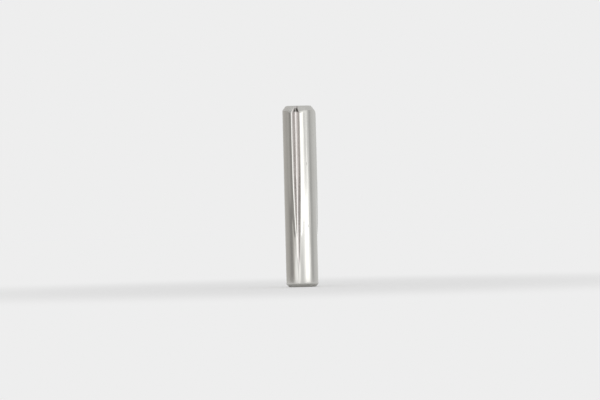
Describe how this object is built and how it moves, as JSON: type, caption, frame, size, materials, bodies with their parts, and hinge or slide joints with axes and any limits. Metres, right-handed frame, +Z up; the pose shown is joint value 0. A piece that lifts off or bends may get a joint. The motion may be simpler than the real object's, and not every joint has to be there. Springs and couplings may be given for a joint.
{
  "type": "grooved pin",
  "caption": "Solid steel grooved pin: chamfered round rod with tapered lengthwise grooves and raised lips for a press fit.",
  "frame": {"origin": "centre of the plain tail end face, which the pin stands on", "axes": "+Z up the pin's axis to the grooved head end, with one groove 10.7 degrees from -Y towards -X"},
  "size_m": [0.0041, 0.0042, 0.0222],
  "materials": {
    "bright_steel": "bright drawn steel, tumbled"
  },
  "bodies": {
    "root": {"grooved_pin": "bright_steel"}
  },
  "joints": []
}
